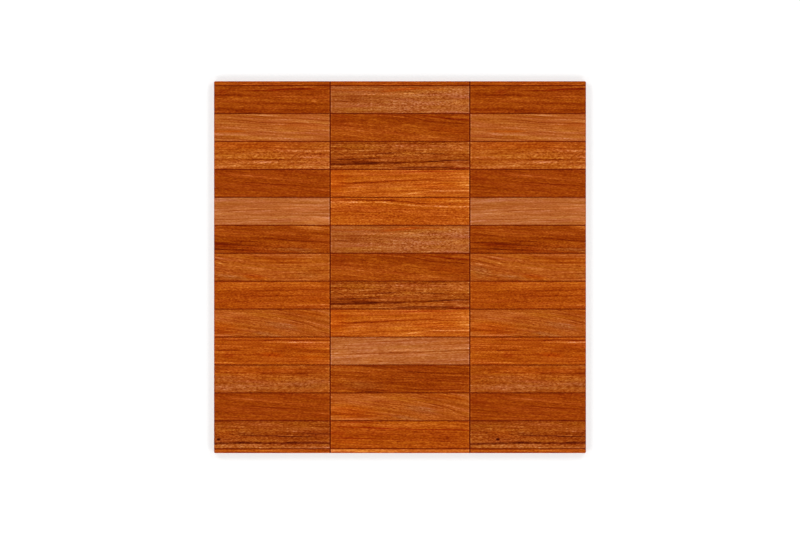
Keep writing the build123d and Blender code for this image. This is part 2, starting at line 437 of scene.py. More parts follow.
    FAINT_THREAD = BoardPrint(
        Ground.ORANGE, bands=0.05, streaks=0.10, lines=0.09, mottle=0.14,
        ripple=Patch(50, 62, 90, 60, GRAIN, 38),
        veins=(
            Vein(26, 34, 64, 33, SHADE, 48), Vein(60, 32.5, 102, 28, SHADE, 48),
            Vein(4, 20, 52, 22, GLOW, 46), Vein(66, 87, 102, 84, GLOW, 70, 1.1),
            Vein(88, 95.5, 102, 95, PINK, 62, 1.2), Vein(28, 75, 64, 74, SHADE, 28, 0.8),
            Vein(56, 52, 86, 53, SHADE, 28, 0.8), Vein(30, 60, 70, 61, GLOW, 34, 0.9),
            Vein(20, 7, 96, 6, GLOW, 39),
        ),
        patches=(
            Patch(60, 13, 75, 18, GLOW, 38), Patch(30, 60, 38, 30, SHADE, 16),
            Patch(90, 65, 16, 16, AMBER, 30), Patch(87, 15, 18, 18, GLOW, 70),
            Patch(87, 80, 18, 16, GLOW, 52),
        ),
    )
    PINK_STREAK = BoardPrint(
        Ground.ORANGE, bands=0.05, streaks=0.14, lines=0.15, mottle=0.13, fall=3.0,
        ripple=Patch(45, 60, 80, 50, GRAIN, 34),
        veins=(
            Vein(18, 9, 60, 14, SHADE, 46, 1.1), Vein(52, 11.5, 102, 11, SHADE, 95, 1.1),
            Vein(52, 19, 76, 18, PINK, 62, 1.4), Vein(70, 19, 102, 19, PINK, 115, 1.7),
            Vein(26, 5, 92, 6, GLOW, 54, 1.1), Vein(78, 42, 100, 41, GLOW, 62),
            Vein(2, 48, 38, 48, SHADE, 44), Vein(2, 54, 30, 56, GLOW, 59), Vein(58, 50, 100, 56, SHADE, 44),
            Vein(2, 31, 40, 33, GLOW, 54), Vein(82, 63, 96, 64, PINK, 61), Vein(0, 91, 34, 93, GLOW, 59, 1.1),
            Vein(60, 86, 98, 88, SHADE, 32, 0.9),
        ),
        patches=(
            Patch(50, 50, 140, 140, GLOW, 20), Patch(58, 64, 14, 12, AMBER, 80),
            Patch(86, 70, 16, 14, AMBER, 60), Patch(27, 66, 6, 14, RED, 35), Patch(5, 40, 14, 50, GLOW, 41),
            Patch(78, 30, 14, 10, RED, 25), Patch(68, 39, 38, 16, SHADE, 42), Patch(92, 84, 12, 16, GLOW, 48),
        ),
    )
    RIPPLED_FOOT = BoardPrint(
        Ground.HONEY, bands=0.05, streaks=0.105, lines=0.09, mottle=0.13,
        ripple=Patch(50, 70, 120, 62, GRAIN, 56),
        veins=(
            Vein(22, 22, 38, 22, PINK, 62, 1.2), Vein(34, 8, 49, 7, PINK, 62, 1.6),
            Vein(14, 27, 38, 29, SHADE, 46), Vein(50, 28, 84, 31, SHADE, 44),
            Vein(34, 33, 48, 32, PINK, 61, 1.6), Vein(2, 14, 34, 16, SHADE, 34, 0.9),
            Vein(50, 14, 96, 17, SHADE, 32, 0.9),
        ),
        patches=(
            Patch(50, 70, 120, 60, PINK, 13), Patch(25, 45, 22, 18, GREY, 40),
            Patch(40, 80, 70, 32, GREY, 66), Patch(85, 66, 26, 30, GREY, 62),
            Patch(45, 20, 65, 24, AMBER, 65), Patch(80, 33, 12, 20, SHADE, 40),
            Patch(50, 50, 140, 140, SHADE, 21), Patch(10, 52, 34, 30, SHADE, 18),
            Patch(68, 14, 14, 18, GLOW, 100), Patch(32, 15, 12, 16, GLOW, 42),
        ),
    )
    LONG_SEAM = BoardPrint(
        Ground.UMBER, bands=0.07, streaks=0.15, lines=0.15, mottle=0.17, fall=2.0,
        ripple=Patch(50, 60, 100, 60, GRAIN, 66),
        veins=(
            Vein(-2, 84, 40, 78, BLACK, 54, 2.3), Vein(34, 79, 76, 79, BLACK, 52, 2.1, 0.4),
            Vein(70, 79, 102, 81, BLACK, 54, 2.3, -0.3), Vein(38, 52, 64, 54, BLACK, 45, 1.3),
            Vein(62, 56, 88, 57, BLACK, 70, 1.1), Vein(80, 45, 102, 47, BLACK, 40, 1.3),
            Vein(20, 28, 36, 28, SHADE, 57, 0.9), Vein(22, 32, 50, 31, GLOW, 59),
            Vein(72, 29, 94, 30, GLOW, 65), Vein(84, 21, 100, 21, SHADE, 52),
            Vein(82, 13, 102, 14, SHADE, 44, 0.9), Vein(70, 37, 82, 38, PINK, 58, 1.3),
            Vein(50, 66, 90, 68, SHADE, 30, 1.1),
        ),
        patches=(
            Patch(60, 40, 90, 60, SHADE, 24), Patch(20, 64, 2.1, 5.5, BLACK, 160),
            Patch(50, 92, 80, 10, PINK, 63), Patch(78, 66, 42, 13, SHADE, 14),
            Patch(25, 45, 14, 18, AMBER, 45), Patch(38, 45, 12, 12, GREY, 52),
            Patch(62, 20, 20, 16, GLOW, 41), Patch(62, 63, 16, 12, GLOW, 45),
            Patch(93, 60, 10, 14, SHADE, 30), Patch(93, 36, 12, 14, GLOW, 42),
            Patch(32, 15, 12, 16, SHADE, 30),
        ),
    )
    EDGE_ORANGE = BoardPrint(
        Ground.ORANGE, bands=0.06, streaks=0.22, lines=0.14, mottle=0.13,
        veins=(
            Vein(20, 93, 80, 94, GLOW, 62, 1.4), Vein(10, 7, 60, 6, GLOW, 54, 1.4),
        ),
    )
    EDGE_ROSE = BoardPrint(
        Ground.FLAME, bands=0.05, streaks=0.13, lines=0.10, mottle=0.10,
        veins=(Vein(-6, 6, 106, 6, PINK, 50, 4.0),),
    )


MIDDLE_STACK = (
    Board.EDGE_ORANGE, Board.RIPPLED, Board.DARK_FAN, Board.BLACK_SEAM, Board.FLAME,
    Board.LIGHT_SWEEP, Board.RIPPLED, Board.DARK_FAN, Board.BLACK_SEAM, Board.FLAME,
    Board.ROSE_LINE, Board.DARK_RIGHT, Board.SWIRL, Board.RED_THREAD, Board.EDGE_ROSE,
)
SIDE_STACK = (
    Board.EDGE_ORANGE, Board.BRIGHT_FLECK, Board.TAN_STREAKS, Board.CRIMPED_FOOT, Board.EVEN_DARK,
    Board.ROSE_FAN, Board.PLUM_CORNER, Board.LEFT_ARCS, Board.FAINT_THREAD, Board.SWIRL,
    Board.PINK_STREAK, Board.RIPPLED_FOOT, Board.EVEN_DARK, Board.LONG_SEAM, Board.EDGE_ORANGE,
)


@dataclass(frozen=True)
class Value:
    """What one node puts out. Arithmetic with it, like its methods, adds more nodes."""

    wiring: "Wiring"
    socket: bpy.types.NodeSocket

    def __add__(self, other: "Number") -> "Value":
        """Both together."""
        return self.wiring.math("ADD", self, other)

    def __sub__(self, other: "Number") -> "Value":
        """This without the other."""
        return self.wiring.math("SUBTRACT", self, other)

    def __rsub__(self, other: float) -> "Value":
        """The other without this."""
        return self.wiring.math("SUBTRACT", other, self)

    def __mul__(self, other: "Number") -> "Value":
        """This as many times as the other says."""
        return self.wiring.math("MULTIPLY", self, other)

    def __truediv__(self, other: "Number") -> "Value":
        """This divided by the other."""
        return self.wiring.math("DIVIDE", self, other)

    def __abs__(self) -> "Value":
        """This without its sign."""
        return self.wiring.math("ABSOLUTE", self)

    def scaled(self, factor: "Number", more: "Number") -> "Value":
        """This times a factor and something more, in one node."""
        return self.wiring.math("MULTIPLY_ADD", self, factor, more)

    def rise(self, low: "Number", high: "Number") -> "Value":
        """Goes smoothly from 0 where this is low to 1 where it is high."""
        return self.wiring.put("ShaderNodeMapRange", self, low, high, interpolation_type="SMOOTHSTEP")

    def fall(self, low: "Number", high: "Number") -> "Value":
        """Goes smoothly from 1 where this is low to 0 where it is high."""
        return 1.0 - self.rise(low, high)


Number = Value | float


@dataclass(frozen=True)
class Cells:
    """Noise with cells of this length and width, in millimetres along and across the grain."""

    length: float
    width: float
    shift: float = 0.0  # keeps two noises of one seed apart
    detail: float = 1.0
    roughness: float = 0.5
    distortion: float = 0.0


class Wiring:
    """Adds nodes to one node tree and joins them."""

    def __init__(self, tree: bpy.types.NodeTree) -> None:
        """Keeps the node tree of a material, a world or a group."""
        self.tree = tree

    def feed(self, socket: bpy.types.NodeSocket, value: object) -> None:
        """Joins a node's input to a value, or sets the input's own.

        Args:
            socket: The input.
            value: What another node puts out, or a number or sequence of numbers.
        """
        if isinstance(value, Value):
            self.tree.links.new(value.socket, socket)
        else:
            socket.default_value = value

    def add(
        self, kind: str, *inputs: object, named: dict[str, object] | None = None, **settings: object
    ) -> bpy.types.Node:
        """Adds one node.

        Args:
            kind: The node's type name.
            inputs: What feeds its first inputs, in their order.
            named: What feeds other inputs, by their names.
            settings: Properties of the node and their values.

        Returns:
            The new node.
        """
        node = self.tree.nodes.new(kind)
        for name, value in settings.items():
            setattr(node, name, value)
        for socket, value in zip(node.inputs, inputs):
            self.feed(socket, value)
        for name, value in (named or {}).items():
            self.feed(node.inputs[name], value)
        return node

    def put(self, kind: str, *inputs: object, **options: object) -> Value:
        """Adds one node, as `add` does, and returns what its first output puts out."""
        return Value(self, self.add(kind, *inputs, **options).outputs[0])

    def outputs(self, node: bpy.types.Node) -> dict[str, Value]:
        """All that a node puts out, by name."""
        return {output.name: Value(self, output) for output in node.outputs}

    def group(self, tree: bpy.types.NodeTree, **inputs: object) -> dict[str, Value]:
        """Places a node group, feeds its inputs and returns its outputs."""
        return self.outputs(self.add("ShaderNodeGroup", named=inputs, node_tree=tree))

    def math(self, operation: str, *values: Number, clamp: bool = False) -> Value:
        """Adds a Math node."""
        return self.put("ShaderNodeMath", *values, operation=operation, use_clamp=clamp)

    def vector(self, operation: str, *values: object) -> Value:
        """Adds a Vector Math node."""
        return self.put("ShaderNodeVectorMath", *values, operation=operation)

    def point(self, x: Number, y: Number, z: Number) -> Value:
        """Joins three numbers into a vector."""
        return self.put("ShaderNodeCombineXYZ", x, y, z)

    def split(self, vector: Value) -> list[Value]:
        """Parts a vector into its three numbers."""
        return list(self.outputs(self.add("ShaderNodeSeparateXYZ", vector)).values())

    def place(self, kind: str) -> Value:
        """Where the point that is shaded lies, in the coordinates of this kind."""
        return self.outputs(self.add("ShaderNodeTexCoord"))[kind]

    def printed_place(self) -> Value:
        """Where the point that is shaded lies on its strip's print, or in its joint on the tile."""
        return self.put("ShaderNodeUVMap", uv_map=PRINT_MAP)

    def bump(self, height: Value, depth: float) -> Value:
        """The normal of a relief this many millimetres deep."""
        return self.put("ShaderNodeBump", named={"Distance": depth * MM, "Height": height})

    def blend(self, share: Number, first: Value | Colour, second: Value | Colour) -> Value:
        """Mixes two colours.

        Args:
            share: How much of the second there is.
            first: A colour that a node puts out, or its red, green and blue.
            second: Another.

        Returns:
            The mixed colour.
        """
        node = self.add("ShaderNodeMix", share, data_type="RGBA")
        for name, colour in (("A", first), ("B", second)):
            socket = next(given for given in node.inputs if given.name == name and given.type == "RGBA")
            self.feed(socket, (*colour, 1.0) if isinstance(colour, tuple) else colour)
        return Value(self, next(result for result in node.outputs if result.type == "RGBA"))

    def noise(self, place: Value, detail: float, roughness: float, distortion: float = 0.0) -> Value:
        """Adds a noise centred on 0 and mostly between -1 and 1, with cells of one unit of the place."""
        named = {"Scale": 1.0, "Detail": detail, "Roughness": roughness, "Distortion": distortion}
        return self.put("ShaderNodeTexNoise", place, named=named).scaled(4.0, -2.0)

    def grained(self, cells: Cells, along: Value, across: Value, seed: Value) -> Value:
        """Adds a noise that is drawn out along the grain.

        Args:
            cells: The noise's cells.
            along: Place along the grain.
            across: Place across it.
            seed: What sets one board's noise apart from another's.

        Returns:
            The noise.
        """
        layer = seed + cells.shift if cells.shift else seed
        place = self.point(along * (1 / cells.length), across * (1 / cells.width), layer)
        return self.noise(place, cells.detail, cells.roughness, cells.distortion)

    def speckle(self, place: Value, fineness: Triple, detail: float, roughness: float = 0.6) -> Value:
        """Adds a noise with this many cells to a millimetre along each axis."""
        return self.noise(self.vector("MULTIPLY", place, fineness), detail, roughness)


class Group(Wiring):
    """A shader node group, whose inputs are its `given` values in the order of their names."""

    def __init__(self, title: str, *names: str, kind: str = "NodeSocketFloat") -> None:
        """Starts the group.

        Args:
            title: The group's name.
            names: Its inputs' names.
            kind: Their socket type.
        """
        super().__init__(bpy.data.node_groups.new(title, "ShaderNodeTree"))
        for name in names:
            self.tree.interface.new_socket(name, in_out="INPUT", socket_type=kind)
        self.given = [Value(self, output) for output in self.add("NodeGroupInput").outputs][: len(names)]

    def finish(self, kind: str = "NodeSocketFloat", **values: Value) -> bpy.types.NodeTree:
        """Gives the group its outputs.

        Args:
            kind: Their socket type.
            values: What each puts out, by name.

        Returns:
            The finished tree.
        """
        for name in values:
            self.tree.interface.new_socket(name, in_out="OUTPUT", socket_type=kind)
        self.add("NodeGroupOutput", *values.values())
        return self.tree


class Finish(Wiring):
    """A material with one Principled shader."""

    def __init__(self, title: str, roughness: float, specular: float) -> None:
        """Starts the material.

        Args:
            title: Its name.
            roughness: Its roughness where nothing else feeds it.
            specular: Strength of its gloss, where 0.5 is glass.
        """
        self.material = bpy.data.materials.new(title)
        self.material.use_nodes = True
        super().__init__(self.material.node_tree)
        self.shade(Roughness=roughness, Specular_IOR_Level=specular)

    def shade(self, **inputs: object) -> bpy.types.Material:
        """Feeds the shader.

        Args:
            inputs: What feeds its inputs, with underscores instead of the spaces in their names.

        Returns:
            The material.
        """
        for name, value in inputs.items():
            self.feed(self.tree.nodes["Principled BSDF"].inputs[name.replace("_", " ")], value)
        return self.material


@dataclass
class PrintEffects:
    """The node groups that all the timber prints share, each made when it is first asked for."""

    waver: Cells = Cells(45, 14)
    waver_drop: float = 0.9  # millimetres
    figures: tuple[tuple[str, Cells], ...] = (
        ("Bands", Cells(110, 8.0, roughness=0.6)),
        ("Streaks", Cells(75, 1.6, 11.3, roughness=0.6)),
        ("Threads", Cells(22, 0.95, 29.9, roughness=0.6)),
        ("Mottle", Cells(2.7, 0.9, 67.7, detail=0.0, roughness=0.6)),
        ("Tint", Cells(60, 4.0, 83.9, roughness=0.6)),
        ("Fibres", Cells(9, 0.45, 37.1, detail=2.0, roughness=0.6)),
    )
    figure_gain: float = 2.2  # brings the figures to a like spread
    ridges: Cells = Cells(120, 3.2, 23.7)  # whose zero crossings are the dark lines
    ridge_reach: float = 0.26  # how far from 0 the noise still darkens
    pores: Cells = Cells(3.0, 0.75, 51.9, detail=0.0)
    pore_range: Pair = (0.60, 1.10)
    ticks: Cells = Cells(3.9, 1.45, roughness=0.6, distortion=0.9)
    tick_range: Pair = (-0.15, 0.70)
    tick_ground: float = 0.27
    shake_length: float = 16.0  # millimetres between the shakes of a vein
    shake: float = 0.45  # millimetres to either side
    shake_shift: float = 3.7
    breaks: Cells = Cells(11, 2.5, detail=2.0)  # of a vein's tone
    break_depth: float = 0.3  # how far the tone swings to either side
    vein_tone: float = 0.85
    vein_fade: float = 9.0  # millimetres to either side of its ends
    border: Cells = Cells(22, 3, detail=2.0)
    border_shake: float = 0.22
    patch_core: float = 0.15  # share of a patch's reach that has its full tone
    gleam_start: Pair = (0.6, 1.3)  # millimetres in from a strip's end
    gleam_end: Pair = (1.5, 2.6)
    joint_shade_reach: Pair = (0.4, 1.4)  # millimetres in from a strip's side, over which the painted shade beside a joint fades
    edge_shade_reach: Pair = (0.3, 1.5)  # millimetres in from the tile's side, over which the painted shade at its rounded edge fades

    @cached_property
    def place(self) -> bpy.types.NodeTree:
        """Where a point lies on its strip's print."""
        w = Group("strip_place")
        along, down, _ = w.split(w.printed_place())
        return w.finish(Along=along, Down=down)

    @cached_property
    def course(self) -> bpy.types.NodeTree:
        """Distance across the grain, whose lines fall, bow and waver along the strip."""
        w = Group("grain_course", "Along", "Down", "Length", "Fall", "Bow", "Seed")
        along, down, length, fall, bow, seed = w.given
        share = along / length
        waver = w.grained(self.waver, along, down, seed) * self.waver_drop
        return w.finish(Across=down - share * fall - share * share * bow + waver)

    @cached_property
    def fibre(self) -> bpy.types.NodeTree:
        """Straight figures of the wood, from wide bands down to fine fibres and open pores."""
        w = Group("wood_fibre", "Along", "Across", "Seed")
        figures = {name: w.grained(cells, *w.given) * self.figure_gain for name, cells in self.figures}
        lines = abs(w.grained(self.ridges, *w.given)).fall(0.0, self.ridge_reach)
        pores = w.grained(self.pores, *w.given).rise(*self.pore_range)
        return w.finish(**figures, Lines=lines, Pores=pores)

    @cached_property
    def ripple(self) -> bpy.types.NodeTree:
        """Short dark ticks on a ground that is slightly paler for them."""
        w = Group("ripple_figure", "Along", "Across", "Seed")
        return w.finish(Ripple=self.tick_ground - w.grained(self.ticks, *w.given).rise(*self.tick_range))

    @cached_property
    def vein(self) -> bpy.types.NodeTree:
        """Mask of one line of the grain between two ends."""
        w = Group("grain_vein", "Along", "Down", "Seed", "Start", "Top", "End", "Foot", "Bend", "Width")
        along, down, seed, start, top, end, foot, bend, width = w.given
        share = w.math("DIVIDE", along - start, end - start, clamp=True)
        middle = share * (1.0 - share) * 4.0  # 0 at both ends and 1 halfway
        line = top + share * (foot - top) + middle * bend
        shaken = w.point(along * (1 / self.shake_length), seed, self.shake_shift)
        shaky = w.noise(shaken, detail=2.0, roughness=0.5)
        near = abs(down - line + shaky * self.shake).fall(0.0, width)
        tone = w.grained(self.breaks, along, down, seed) * self.break_depth + self.vein_tone
        starts = along.rise(start - self.vein_fade, start + self.vein_fade)
        ends = along.rise(end + self.vein_fade, end - self.vein_fade)
        return w.finish(Mask=near * tone * (starts * ends))

    @cached_property
    def patch(self) -> bpy.types.NodeTree:
        """Mask of one soft oval area with an uneven border."""
        w = Group("soft_patch", "Along", "Across", "Seed", "Centre", "Level", "Reach", "Breadth")
        along, across, seed, centre, level, reach, breadth = w.given
        beside, below = (along - centre) / reach, (across - level) / breadth
        distance = w.math("SQRT", beside.scaled(beside, below * below))
        uneven = w.grained(self.border, along, across, seed).scaled(self.border_shake, distance)
        return w.finish(Mask=uneven.fall(self.patch_core, 1.0))

    @cached_property
    def rim(self) -> bpy.types.NodeTree:
        """Masks of the dark rim of painted shade at joints and the tile's rounded edge, and of the pale line
        near a strip's ends.
        """
        w = Group("strip_rim", "Along", "Down", "Length", "Width", "Half")
        along, down, length, width, half = w.given
        end = w.math("MINIMUM", along, length - along)
        side = w.math("MINIMUM", down, width - down)
        x, y, _ = w.split(w.vector("MULTIPLY", w.vector("ABSOLUTE", w.place("Object")), PER_MM))
        # Painted shade: the print darkens beside the joints and towards the tile's rounded edge.
        joint = w.math("MINIMUM", end, side).fall(*self.joint_shade_reach)
        edge = (half - w.math("MAXIMUM", x, y)).fall(*self.edge_shade_reach)
        gleam = end.rise(*self.gleam_start) * end.fall(*self.gleam_end)
        return w.finish(Mask=w.math("MAXIMUM", joint, edge), Gleam=gleam)

    @cached_property
    def fired(self) -> bpy.types.NodeTree:
        """Colour of the ground under all the inks, which add up as logarithms."""
        w = Group("fired_colour", "Ground", "Inks", kind="NodeSocketVector")
        ground, inks = w.given
        gains = w.point(*[w.math("EXPONENT", channel) for channel in w.split(inks)])
        return w.finish("NodeSocketColor", Colour=w.vector("MULTIPLY", ground, gains))


@dataclass(frozen=True)
class PrintedGlaze:
    """Satin glaze over the print of one strip."""

    board: Board
    length: float  # of a whole strip
    width: float
    half: float  # half of the tile's side
    threads: float = 0.75  # strength of the fine threads, as a share of the streaks'
    fibres: float = 0.09
    pores: float = 0.50
    # Strength of the painted shade beside the joints and at the tile's edge.
    edge: float = 0.30
    gleam: float = 0.40
    depth: float = 1.5  # how strongly the veins and lines are drawn
    roughness: float = 0.30
    streak_roughness: float = 0.02
    pore_roughness: float = 0.12
    specular: float = 0.06
    relief: float = 0.03
    fibre_relief: float = 0.3  # share of the streaks' relief

    def material(self, effects: PrintEffects) -> bpy.types.Material:
        """Builds the material.

        Args:
            effects: The node groups of the print.

        Returns:
            The finished material.
        """
        design = self.board.value
        seed = SEED_STEP * (list(Board).index(self.board) + 1)
        w = Finish(f"print_{self.board.name.lower()}", self.roughness, self.specular)
        place = w.group(effects.place)
        slope = {"Length": self.length, "Fall": design.fall, "Bow": design.bow}
        course = w.group(effects.course, **place, **slope, Seed=seed)
        grain = {"Along": place["Along"], "Across": course["Across"]}
        fibre = w.group(effects.fibre, **grain, Seed=seed)
        layers = [
            (fibre["Bands"], GRAIN, design.bands),
            (fibre["Streaks"], GRAIN, design.streaks),
            (fibre["Threads"], GRAIN, design.streaks * self.threads),
            (fibre["Lines"], SHADE, design.lines * self.depth),
            (fibre["Mottle"], GRAIN, design.mottle),
            (fibre["Tint"], TINT, design.tint),
            (fibre["Fibres"], GRAIN, self.fibres),
            (fibre["Pores"], SHADE, self.pores),
        ]
        if design.ripple:
            ticks = w.group(effects.ripple, **grain, Seed=seed)["Ripple"]
            area = w.group(effects.patch, **grain, Seed=seed, **self.area(design.ripple))["Mask"]
            layers.append((ticks * area, design.ripple.ink, design.ripple.strength / 100))
        for number, patch in enumerate(design.patches):
            area = w.group(effects.patch, **grain, Seed=seed + number, **self.area(patch))["Mask"]
            layers.append((area, patch.ink, patch.strength / 100))
        for number, vein in enumerate(design.veins):
            line = w.group(effects.vein, **place, Seed=seed + number, **self.line(vein))["Mask"]
            layers.append((line, vein.ink, vein.strength / 100 * self.depth))
        rim = w.group(effects.rim, **place, Length=self.length, Width=self.width, Half=self.half)
        # Painted shade beside the joints and at the tile's edge, and the pale line near the strip's ends.
        layers += [(rim["Mask"], SHADE, self.edge), (rim["Gleam"], PINK, self.gleam)]
        inks = (0.0, 0.0, 0.0)
        for mask, ink, amount in layers:
            inks = w.vector("MULTIPLY_ADD", mask, tuple(amount * change for change in ink.value), inks)
        gloss = fibre["Streaks"].scaled(self.streak_roughness, self.roughness)
        relief = fibre["Fibres"].scaled(self.fibre_relief, fibre["Streaks"]) - fibre["Pores"]
        return w.shade(
            Base_Color=w.group(effects.fired, Ground=design.ground.value, Inks=inks)["Colour"],
            Roughness=fibre["Pores"].scaled(self.pore_roughness, gloss),
            Normal=w.bump(relief, self.relief),
        )

    def millimetres(self, along: float, down: float) -> Pair:
        """Hundredths of the strip's length and width as millimetres."""
        return along / 100 * self.length, down / 100 * self.width

    def area(self, patch: Patch) -> dict[str, float]:
        """Size and place of a soft area, for its node group.

        Args:
            patch: The area.

        Returns:
            The group's inputs. Its place follows the fall of the grain.
        """
        share = patch.along / 100
        centre, down = self.millimetres(patch.along, patch.down)
        reach, breadth = self.millimetres(patch.reach_along, patch.reach_down)
        level = down - self.board.value.fall * share - self.board.value.bow * share**2
        return {"Centre": centre, "Level": level, "Reach": reach, "Breadth": breadth}

    def line(self, vein: Vein) -> dict[str, float]:
        """Size and place of a line of the grain, for its node group.

        Args:
            vein: The line.

        Returns:
            The group's inputs.
        """
        start, top = self.millimetres(vein.start_along, vein.start_down)
        end, foot = self.millimetres(vein.end_along, vein.end_down)
        return {"Start": start, "Top": top, "End": end, "Foot": foot, "Bend": vein.bend, "Width": vein.width}


@dataclass(frozen=True)
class JointGlaze:
    """Dark glaze pooled in the joints, uneven along their length."""

    title: str
    dark: Colour
    light: Colour
    fineness: Triple = (0.045, 0.045, 0.0)  # cells to a millimetre
    tone_range: Pair = (-0.7, 0.9)
    roughness: float = 0.42
    specular: float = 0.06

    def material(self) -> bpy.types.Material:
        """Builds the material.

        Returns:
            The finished material.
        """
        w = Finish(self.title, self.roughness, self.specular)
        uneven = w.speckle(w.printed_place(), self.fineness, detail=3.0).rise(*self.tone_range)
        return w.shade(Base_Color=w.blend(uneven, self.dark, self.light))


@dataclass(frozen=True)
class FiredBody:
    """Red fired clay, with glaze that ran over the top of the edge and a pale wash on the back's ribs."""

    thickness: float
    clay: Colour = (0.420, 0.158, 0.078)
    deep_clay: Colour = (0.310, 0.098, 0.045)
    wash: Colour = (0.640, 0.540, 0.450)
    grit: Colour = (0.110, 0.048, 0.030)
    glaze: Colour = (0.150, 0.034, 0.009)
    clay_fineness: Triple = (0.04, 0.04, 0.04)  # cells to a millimetre
    grit_fineness: Triple = (1.1, 1.1, 1.1)
    wash_fineness: Triple = (0.09, 0.09, 0.09)
    glaze_fineness: Triple = (0.16, 0.16, 0.0)
    clay_range: Pair = (-0.9, 0.9)
    grit_range: Pair = (0.55, 1.2)
    wash_range: Pair = (-0.9, 0.5)
    wash_height: Pair = (0.02, 0.35)
    glaze_depth: float = 1.9  # below the face
    glaze_waver: float = 0.45
    glaze_border: float = 0.15
    relief: float = 0.12
    roughness: float = 0.85
    glaze_roughness: float = -0.42  # added to the clay's
    specular: float = 0.3

    def material(self) -> bpy.types.Material:
        """Builds the material from places on the tile.

        Returns:
            The finished material.
        """
        w = Finish("fired_body", self.roughness, self.specular)
        place = w.vector("MULTIPLY", w.place("Object"), PER_MM)
        _, _, height = w.split(place)
        grain = w.speckle(place, self.grit_fineness, detail=3.0)
        cloud = w.speckle(place, self.clay_fineness, detail=4.0).rise(*self.clay_range)
        colour = w.blend(cloud, self.deep_clay, self.clay)
        colour = w.blend(grain.rise(*self.grit_range), colour, self.grit)
        patchy = w.speckle(place, self.wash_fineness, detail=4.0, roughness=0.65).rise(*self.wash_range)
        colour = w.blend(height.fall(*self.wash_height) * patchy, colour, self.wash)
        waver = w.speckle(place, self.glaze_fineness, detail=3.0)
        limit = waver.scaled(self.glaze_waver, self.thickness - self.glaze_depth)
        glazed = height.rise(limit - self.glaze_border, limit + self.glaze_border)
        return w.shade(
            Base_Color=w.blend(glazed, colour, self.glaze),
            Roughness=glazed.scaled(self.glaze_roughness, self.roughness),
            Normal=w.bump(grain * (1.0 - glazed), self.relief),
        )


@dataclass
class TileFace:
    """How the strips and the joints between them lie on the tile's face."""

    side: float
    strip_length: float = 169.0
    strip_width: float = 33.8
    end_joint_width: float = 1.3
    long_joint_width: float = 1.0
    least_cut_strip: float = 2.5
    middle_stack: tuple[Board, ...] = MIDDLE_STACK
    side_stack: tuple[Board, ...] = SIDE_STACK

    @property
    def half(self) -> float:
        """Half of the tile's side."""
        return self.side / 2

    def joints(self, pitch: float) -> list[float]:
        """Centre lines of the joints, about a whole strip in the middle.

        Args:
            pitch: Distance from one joint to the next.

        Returns:
            The joints' places in rising order.
        """
        count = math.floor((self.half - self.least_cut_strip) / pitch + 0.5)
        outward = [(step + 0.5) * pitch for step in range(count)]
        return sorted([-place for place in outward] + outward)

    @property
    def end_joints(self) -> list[float]:
        """Joints across the strips' ends, as places along X."""
        return self.joints(self.strip_length)

    @property
    def long_joints(self) -> list[float]:
        """Joints beside the strips, as places along Y."""
        return self.joints(self.strip_width)

    def strip_at(self, x: float, y: float) -> tuple[Board, float, float]:
        """The strip under a point of the face.

        Args:
            x: Place along the strips.
            y: Place across them.

        Returns:
            The strip's print, and the X and Y of the whole print's top left corner.
        """
        column = sum(x > joint for joint in self.end_joints)
        row = sum(y < joint for joint in self.long_joints)
        middle = len(self.end_joints) // 2
        stack = self.middle_stack if column == middle else self.side_stack
        left = (column - middle - 0.5) * self.strip_length
        top = (len(self.long_joints) / 2 + 0.5 - row) * self.strip_width
        return stack[row], left, top


@dataclass
class BakeSheet:
    """Where each side of the tile lies on the sheet that its finish is baked to, in shares of the sheet."""

    side: float
    thickness: float
    margin: float = 0.004
    face_share: float = 0.80
    gap: float = 0.008

    @property
    def beyond(self) -> float:
        """Where the sheet goes on above the face and to its right."""
        return self.margin + self.face_share + self.gap

    def on_face(self, x: float, y: float) -> Pair:
        """The face, square and largest, at the lower left."""
        scale = self.face_share / self.side
        return self.margin + (x + self.side / 2) * scale, self.margin + (y + self.side / 2) * scale

    def on_back(self, x: float, y: float) -> Pair:
        """The back, pressed flat above the face."""
        share = (y + self.side / 2) / self.side
        return self.on_face(x, y)[0], self.beyond + share * (1 - self.margin - self.beyond)

    def on_side(self, number: int, along: float, height: float) -> Pair:
        """One of the four narrow sides, standing to the right of the face.

        Args:
            number: Which side, from 0 to 3.
            along: Place along it.
            height: Place above the back.

        Returns:
            The place on the sheet.
        """
        pitch = (1 - self.margin - self.beyond + self.gap) / 4
        across = self.beyond + number * pitch + height / self.thickness * (pitch - self.gap)
        return across, self.on_face(0.0, along)[1]


